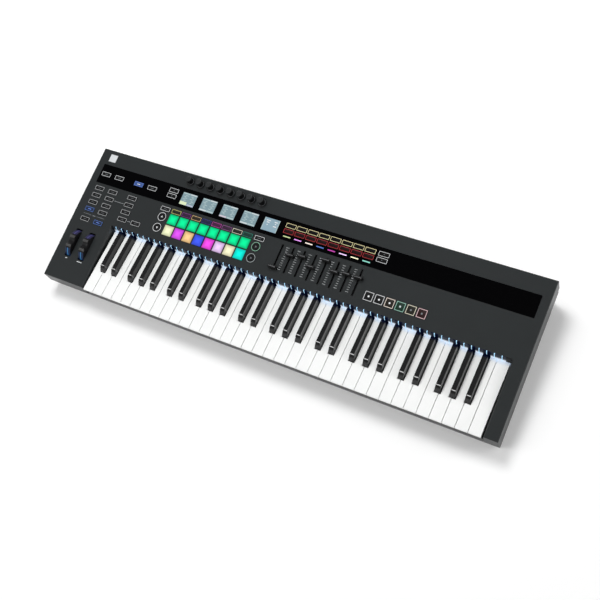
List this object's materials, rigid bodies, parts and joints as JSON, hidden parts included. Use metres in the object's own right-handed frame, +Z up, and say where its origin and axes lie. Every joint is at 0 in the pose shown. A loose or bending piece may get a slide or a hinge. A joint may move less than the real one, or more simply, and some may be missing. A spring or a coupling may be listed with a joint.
{
  "type": "controller keyboard",
  "caption": "Full-size keyboard controller: sloped case with a long display window, lit pads, faders, knobs and two wheels above a row of piano keys.",
  "frame": {"origin": "on the table under the middle of the case's box", "axes": "+X to the player's right along the keys, +Y to the rear, +Z up"},
  "size_m": [0.979, 0.2964, 0.102],
  "materials": {
    "case_plastic": "fine moulded texture, satin",
    "tray_plastic": "fine moulded texture, satin",
    "window_acrylic": "polished",
    "screen_glass": "lit display",
    "steel": "zinc plated sheet",
    "felt": "pressed wool",
    "board": "solder mask",
    "rubber": "matte",
    "light_guide": "clear, lit",
    "socket_plastic": "satin",
    "socket_metal": "tin plated",
    "white_key": "satin gloss",
    "black_key": "satin",
    "knob_rubber": "soft touch",
    "fader_plastic": "satin",
    "wheel_rubber": "soft touch",
    "pad_rubber": "translucent, lit from below",
    "button_plastic": "satin with lit outline"
  },
  "bodies": {
    "case": {"top_case": "case_plastic", "bottom_tray": "tray_plastic", "display_window": "window_acrylic", "lcd_modules": "screen_glass", "key_chassis": "steel", "key_pivot_rod": "steel", "key_felts": "felt", "key_springs": "steel", "contact_board": "board", "contact_strip": "rubber", "key_light_guide": "light_guide", "panel_board": "board", "encoder_bodies": "steel", "fader_bodies": "steel", "wheel_bracket": "steel", "main_board": "board", "midi_sockets": "socket_plastic", "jack_sockets": "socket_plastic", "usb_socket": "socket_metal", "power_fittings": "socket_plastic", "feet": "rubber", "screws": "steel"},
    "c_keys": {"c_keys": "white_key"},
    "c_sharp_keys": {"c_sharp_keys": "black_key"},
    "d_keys": {"d_keys": "white_key"},
    "d_sharp_keys": {"d_sharp_keys": "black_key"},
    "e_keys": {"e_keys": "white_key"},
    "f_keys": {"f_keys": "white_key"},
    "f_sharp_keys": {"f_sharp_keys": "black_key"},
    "g_keys": {"g_keys": "white_key"},
    "g_sharp_keys": {"g_sharp_keys": "black_key"},
    "a_keys": {"a_keys": "white_key"},
    "a_sharp_keys": {"a_sharp_keys": "black_key"},
    "b_keys": {"b_keys": "white_key"},
    "knob_1": {"knob_1": "knob_rubber"},
    "knob_2": {"knob_2": "knob_rubber"},
    "knob_3": {"knob_3": "knob_rubber"},
    "knob_4": {"knob_4": "knob_rubber"},
    "knob_5": {"knob_5": "knob_rubber"},
    "knob_6": {"knob_6": "knob_rubber"},
    "knob_7": {"knob_7": "knob_rubber"},
    "knob_8": {"knob_8": "knob_rubber"},
    "fader_1": {"fader_1": "fader_plastic"},
    "fader_2": {"fader_2": "fader_plastic"},
    "fader_3": {"fader_3": "fader_plastic"},
    "fader_4": {"fader_4": "fader_plastic"},
    "fader_5": {"fader_5": "fader_plastic"},
    "fader_6": {"fader_6": "fader_plastic"},
    "fader_7": {"fader_7": "fader_plastic"},
    "fader_8": {"fader_8": "fader_plastic"},
    "pitch_wheel": {"pitch_wheel": "wheel_rubber"},
    "mod_wheel": {"mod_wheel": "wheel_rubber"},
    "pads": {"pads": "pad_rubber"},
    "window_buttons": {"window_buttons": "button_plastic"},
    "function_buttons": {"function_buttons": "button_plastic"},
    "track_buttons": {"track_buttons": "button_plastic"},
    "scene_buttons": {"scene_buttons": "button_plastic"},
    "soft_buttons": {"soft_buttons": "button_plastic"},
    "transport_buttons": {"transport_buttons": "button_plastic"},
    "power_switch": {"power_switch": "socket_plastic"}
  },
  "joints": [
    {"name": "c_keys_press", "type": "hinge", "parent": "case", "child": "c_keys", "pos_m": [0, 0.04678, 0.04], "axis": [1, 0, 0], "range_deg": [0, 2.94], "stiffness_Nm_per_rad": 4, "springref_deg": -11.46},
    {"name": "c_sharp_keys_press", "type": "hinge", "parent": "case", "child": "c_sharp_keys", "pos_m": [0, 0.04678, 0.04], "axis": [1, 0, 0], "range_deg": [0, 2.94], "stiffness_Nm_per_rad": 4, "springref_deg": -11.46},
    {"name": "d_keys_press", "type": "hinge", "parent": "case", "child": "d_keys", "pos_m": [0, 0.04678, 0.04], "axis": [1, 0, 0], "range_deg": [0, 2.94], "stiffness_Nm_per_rad": 4, "springref_deg": -11.46},
    {"name": "d_sharp_keys_press", "type": "hinge", "parent": "case", "child": "d_sharp_keys", "pos_m": [0, 0.04678, 0.04], "axis": [1, 0, 0], "range_deg": [0, 2.94], "stiffness_Nm_per_rad": 4, "springref_deg": -11.46},
    {"name": "e_keys_press", "type": "hinge", "parent": "case", "child": "e_keys", "pos_m": [0, 0.04678, 0.04], "axis": [1, 0, 0], "range_deg": [0, 2.94], "stiffness_Nm_per_rad": 4, "springref_deg": -11.46},
    {"name": "f_keys_press", "type": "hinge", "parent": "case", "child": "f_keys", "pos_m": [0, 0.04678, 0.04], "axis": [1, 0, 0], "range_deg": [0, 2.94], "stiffness_Nm_per_rad": 4, "springref_deg": -11.46},
    {"name": "f_sharp_keys_press", "type": "hinge", "parent": "case", "child": "f_sharp_keys", "pos_m": [0, 0.04678, 0.04], "axis": [1, 0, 0], "range_deg": [0, 2.94], "stiffness_Nm_per_rad": 4, "springref_deg": -11.46},
    {"name": "g_keys_press", "type": "hinge", "parent": "case", "child": "g_keys", "pos_m": [0, 0.04678, 0.04], "axis": [1, 0, 0], "range_deg": [0, 2.94], "stiffness_Nm_per_rad": 4, "springref_deg": -11.46},
    {"name": "g_sharp_keys_press", "type": "hinge", "parent": "case", "child": "g_sharp_keys", "pos_m": [0, 0.04678, 0.04], "axis": [1, 0, 0], "range_deg": [0, 2.94], "stiffness_Nm_per_rad": 4, "springref_deg": -11.46},
    {"name": "a_keys_press", "type": "hinge", "parent": "case", "child": "a_keys", "pos_m": [0, 0.04678, 0.04], "axis": [1, 0, 0], "range_deg": [0, 2.94], "stiffness_Nm_per_rad": 4, "springref_deg": -11.46},
    {"name": "a_sharp_keys_press", "type": "hinge", "parent": "case", "child": "a_sharp_keys", "pos_m": [0, 0.04678, 0.04], "axis": [1, 0, 0], "range_deg": [0, 2.94], "stiffness_Nm_per_rad": 4, "springref_deg": -11.46},
    {"name": "b_keys_press", "type": "hinge", "parent": "case", "child": "b_keys", "pos_m": [0, 0.04678, 0.04], "axis": [1, 0, 0], "range_deg": [0, 2.94], "stiffness_Nm_per_rad": 4, "springref_deg": -11.46},
    {"name": "knob_1_turn", "type": "hinge", "parent": "case", "child": "knob_1", "pos_m": [-0.2605, 0.12953, 0.08655], "axis": [0, -0.1028, 0.9947], "continuous": true},
    {"name": "knob_2_turn", "type": "hinge", "parent": "case", "child": "knob_2", "pos_m": [-0.2365, 0.12953, 0.08655], "axis": [0, -0.1028, 0.9947], "continuous": true},
    {"name": "knob_3_turn", "type": "hinge", "parent": "case", "child": "knob_3", "pos_m": [-0.2125, 0.12953, 0.08655], "axis": [0, -0.1028, 0.9947], "continuous": true},
    {"name": "knob_4_turn", "type": "hinge", "parent": "case", "child": "knob_4", "pos_m": [-0.1885, 0.12953, 0.08655], "axis": [0, -0.1028, 0.9947], "continuous": true},
    {"name": "knob_5_turn", "type": "hinge", "parent": "case", "child": "knob_5", "pos_m": [-0.1645, 0.12953, 0.08655], "axis": [0, -0.1028, 0.9947], "continuous": true},
    {"name": "knob_6_turn", "type": "hinge", "parent": "case", "child": "knob_6", "pos_m": [-0.1405, 0.12953, 0.08655], "axis": [0, -0.1028, 0.9947], "continuous": true},
    {"name": "knob_7_turn", "type": "hinge", "parent": "case", "child": "knob_7", "pos_m": [-0.1165, 0.12953, 0.08655], "axis": [0, -0.1028, 0.9947], "continuous": true},
    {"name": "knob_8_turn", "type": "hinge", "parent": "case", "child": "knob_8", "pos_m": [-0.0925, 0.12953, 0.08655], "axis": [0, -0.1028, 0.9947], "continuous": true},
    {"name": "fader_1_slide", "type": "slide", "parent": "case", "child": "fader_1", "axis": [0, 0.9947, 0.1028], "range_m": [0, 0.045]},
    {"name": "fader_2_slide", "type": "slide", "parent": "case", "child": "fader_2", "axis": [0, 0.9947, 0.1028], "range_m": [-0.031, 0.014]},
    {"name": "fader_3_slide", "type": "slide", "parent": "case", "child": "fader_3", "axis": [0, 0.9947, 0.1028], "range_m": [-0.036, 0.009]},
    {"name": "fader_4_slide", "type": "slide", "parent": "case", "child": "fader_4", "axis": [0, 0.9947, 0.1028], "range_m": [-0.022, 0.023]},
    {"name": "fader_5_slide", "type": "slide", "parent": "case", "child": "fader_5", "axis": [0, 0.9947, 0.1028], "range_m": [-0.043, 0.002]},
    {"name": "fader_6_slide", "type": "slide", "parent": "case", "child": "fader_6", "axis": [0, 0.9947, 0.1028], "range_m": [-0.027, 0.018]},
    {"name": "fader_7_slide", "type": "slide", "parent": "case", "child": "fader_7", "axis": [0, 0.9947, 0.1028], "range_m": [-0.03, 0.015]},
    {"name": "fader_8_slide", "type": "slide", "parent": "case", "child": "fader_8", "axis": [0, 0.9947, 0.1028], "range_m": [-0.03, 0.015]},
    {"name": "pitch_wheel_turn", "type": "hinge", "parent": "case", "child": "pitch_wheel", "pos_m": [-0.4561, -0.0636, 0.04749], "axis": [1, 0, 0], "range_deg": [-35, 35], "stiffness_Nm_per_rad": 0.08},
    {"name": "mod_wheel_turn", "type": "hinge", "parent": "case", "child": "mod_wheel", "pos_m": [-0.4219, -0.0636, 0.04749], "axis": [1, 0, 0], "range_deg": [-35, 35]},
    {"name": "pads_press", "type": "slide", "parent": "case", "child": "pads", "axis": [0, -0.1028, 0.9947], "range_m": [-0.0008, 0], "stiffness_N_per_m": 1500, "springref_m": 0.001},
    {"name": "window_buttons_press", "type": "slide", "parent": "case", "child": "window_buttons", "axis": [0, -0.1028, 0.9947], "range_m": [-0.0008, 0], "stiffness_N_per_m": 1500, "springref_m": 0.001},
    {"name": "function_buttons_press", "type": "slide", "parent": "case", "child": "function_buttons", "axis": [0, -0.1028, 0.9947], "range_m": [-0.0008, 0], "stiffness_N_per_m": 1500, "springref_m": 0.001},
    {"name": "track_buttons_press", "type": "slide", "parent": "case", "child": "track_buttons", "axis": [0, -0.1028, 0.9947], "range_m": [-0.0008, 0], "stiffness_N_per_m": 1500, "springref_m": 0.001},
    {"name": "scene_buttons_press", "type": "slide", "parent": "case", "child": "scene_buttons", "axis": [0, -0.1028, 0.9947], "range_m": [-0.0008, 0], "stiffness_N_per_m": 1500, "springref_m": 0.001},
    {"name": "soft_buttons_press", "type": "slide", "parent": "case", "child": "soft_buttons", "axis": [0, -0.1028, 0.9947], "range_m": [-0.0008, 0], "stiffness_N_per_m": 1500, "springref_m": 0.001},
    {"name": "transport_buttons_press", "type": "slide", "parent": "case", "child": "transport_buttons", "axis": [0, -0.1028, 0.9947], "range_m": [-0.0008, 0], "stiffness_N_per_m": 1500, "springref_m": 0.001},
    {"name": "power_switch_rock", "type": "hinge", "parent": "case", "child": "power_switch", "pos_m": [-0.4255, 0.14072, 0.026], "axis": [1, 0, 0], "range_deg": [0, 14]}
  ]
}
